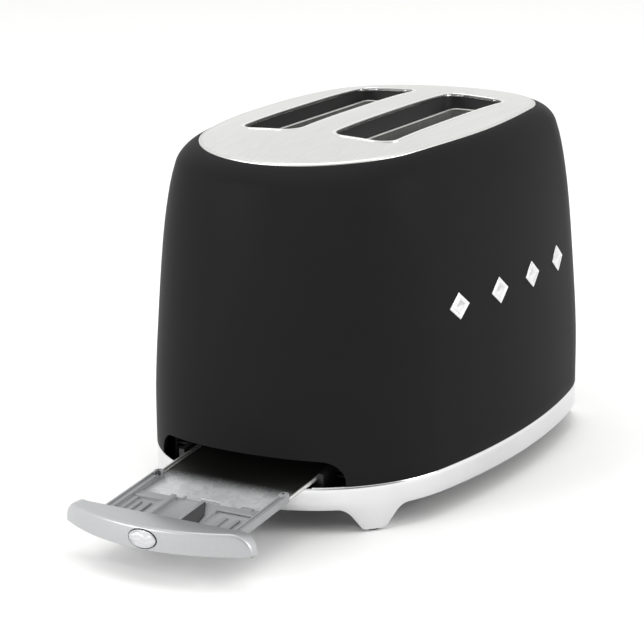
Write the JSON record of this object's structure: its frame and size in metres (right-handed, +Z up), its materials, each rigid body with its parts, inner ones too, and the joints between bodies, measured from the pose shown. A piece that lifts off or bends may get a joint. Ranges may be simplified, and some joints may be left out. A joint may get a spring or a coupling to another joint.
{
  "type": "pop up toaster",
  "caption": "Oval pop up toaster with long bread slots, a side lever carriage, push buttons, a browning dial and a crumb tray that slides out.",
  "frame": {"origin": "point on the worktop under the middle of the toaster's body", "axes": "+X along the toaster towards the lever and controls, +Z up; the crumb tray slides out towards -X"},
  "size_m": [0.4117, 0.1893, 0.197],
  "materials": {
    "shell_enamel": "satin black",
    "brushed_steel": "brushed",
    "dark_polymer": "matt black",
    "thin_steel": "bright rolled sheet",
    "chrome_trim": "polished",
    "foot_rubber": "matt",
    "screw_steel": "zinc plated",
    "mica_board": "matt mica sheet",
    "heating_alloy": "oxidised ribbon",
    "steel_wire": "drawn wire",
    "circuit_board": "lacquered board",
    "magnet_iron": "laminated iron with copper coil",
    "pale_polymer": "matt",
    "galvanised_steel": "galvanised",
    "grey_polymer": "matt",
    "silver_polymer": "satin silver"
  },
  "bodies": {
    "housing": {"outer_shell": "shell_enamel", "top_plate": "brushed_steel", "slot_collar_front": "dark_polymer", "slot_collar_rear": "dark_polymer", "slot_liner_front": "thin_steel", "slot_liner_rear": "thin_steel", "base_band": "chrome_trim", "foot_pad_front_left": "foot_rubber", "foot_pad_front_right": "foot_rubber", "foot_pad_rear_left": "foot_rubber", "foot_pad_rear_right": "foot_rubber", "base_plate": "dark_polymer", "base_screws": "screw_steel", "chassis_plate_tray_end": "thin_steel", "chassis_plate_control_end": "thin_steel", "reflector_front": "thin_steel", "reflector_rear": "thin_steel", "centre_shield": "thin_steel", "heater_board_front_outer": "mica_board", "heater_board_front_inner": "mica_board", "heater_board_rear_inner": "mica_board", "heater_board_rear_outer": "mica_board", "heater_ribbon_front_outer": "heating_alloy", "heater_ribbon_front_inner": "heating_alloy", "heater_ribbon_rear_inner": "heating_alloy", "heater_ribbon_rear_outer": "heating_alloy", "guide_rod": "steel_wire", "return_spring": "steel_wire", "control_board": "circuit_board", "timer_dial_body": "dark_polymer", "knob_ring": "chrome_trim", "control_fascia": "shell_enamel", "electromagnet": "magnet_iron", "main_board": "circuit_board", "board_components": "dark_polymer", "terminal_block": "pale_polymer", "cord_gland": "foot_rubber", "side_studs": "chrome_trim", "tray_rail_front": "dark_polymer", "tray_rail_rear": "dark_polymer"},
    "carriage": {"carriage_bracket": "thin_steel", "lever_arm": "thin_steel", "lever_knob": "chrome_trim", "bread_rack_front": "thin_steel", "bread_rack_rear": "thin_steel", "armature_plate": "thin_steel"},
    "tray": {"crumb_pan": "galvanised_steel", "tray_carrier": "grey_polymer", "tray_handle": "silver_polymer", "handle_badge": "chrome_trim"},
    "browning_dial": {"browning_knob": "chrome_trim"},
    "defrost_button_cap": {"defrost_button": "chrome_trim"},
    "bagel_button_cap": {"bagel_button": "chrome_trim"},
    "reheat_button_cap": {"reheat_button": "chrome_trim"},
    "cancel_button_cap": {"cancel_button": "chrome_trim"},
    "cage_front_outer": {"guide_cage_front_outer": "steel_wire"},
    "cage_front_inner": {"guide_cage_front_inner": "steel_wire"},
    "cage_rear_inner": {"guide_cage_rear_inner": "steel_wire"},
    "cage_rear_outer": {"guide_cage_rear_outer": "steel_wire"}
  },
  "joints": [
    {"name": "lever_slide", "type": "slide", "parent": "housing", "child": "carriage", "axis": [0, 0, -1], "range_m": [0, 0.068], "stiffness_N_per_m": 110, "springref_m": -0.03, "deforming": ["return_spring"]},
    {"name": "cage_front_outer_lean", "type": "hinge", "parent": "housing", "child": "cage_front_outer", "pos_m": [0, -0.0438, 0.057], "axis": [1, 0, 0], "range_deg": [-4, 0]},
    {"name": "cage_front_inner_lean", "type": "hinge", "parent": "housing", "child": "cage_front_inner", "pos_m": [0, -0.0132, 0.057], "axis": [1, 0, 0], "range_deg": [0, 4]},
    {"name": "cage_rear_inner_lean", "type": "hinge", "parent": "housing", "child": "cage_rear_inner", "pos_m": [0, 0.0132, 0.057], "axis": [1, 0, 0], "range_deg": [-4, 0]},
    {"name": "cage_rear_outer_lean", "type": "hinge", "parent": "housing", "child": "cage_rear_outer", "pos_m": [0, 0.0438, 0.057], "axis": [1, 0, 0], "range_deg": [0, 4]},
    {"name": "tray_slide", "type": "slide", "parent": "housing", "child": "tray", "axis": [-0.9945, 0, -0.1045], "range_m": [-0.0874, 0.035]},
    {"name": "browning_turn", "type": "hinge", "parent": "housing", "child": "browning_dial", "pos_m": [0.15, 0, 0.05], "axis": [-1, 0, 0], "range_deg": [0, 270]},
    {"name": "defrost_press", "type": "slide", "parent": "housing", "child": "defrost_button_cap", "axis": [-1, 0, 0], "range_m": [0, 0.0015], "stiffness_N_per_m": 400, "springref_m": -0.002},
    {"name": "bagel_press", "type": "slide", "parent": "housing", "child": "bagel_button_cap", "axis": [-1, 0, 0], "range_m": [0, 0.0015], "stiffness_N_per_m": 400, "springref_m": -0.002},
    {"name": "reheat_press", "type": "slide", "parent": "housing", "child": "reheat_button_cap", "axis": [-1, 0, 0], "range_m": [0, 0.0015], "stiffness_N_per_m": 400, "springref_m": -0.002},
    {"name": "cancel_press", "type": "slide", "parent": "housing", "child": "cancel_button_cap", "axis": [-1, 0, 0], "range_m": [0, 0.0015], "stiffness_N_per_m": 400, "springref_m": -0.002}
  ],
  "couplings": [
    {"joint": "cage_front_outer_lean", "follows": "lever_slide", "rad_per_m": -1},
    {"joint": "cage_front_inner_lean", "follows": "lever_slide", "rad_per_m": 1},
    {"joint": "cage_rear_inner_lean", "follows": "lever_slide", "rad_per_m": -1},
    {"joint": "cage_rear_outer_lean", "follows": "lever_slide", "rad_per_m": 1}
  ]
}
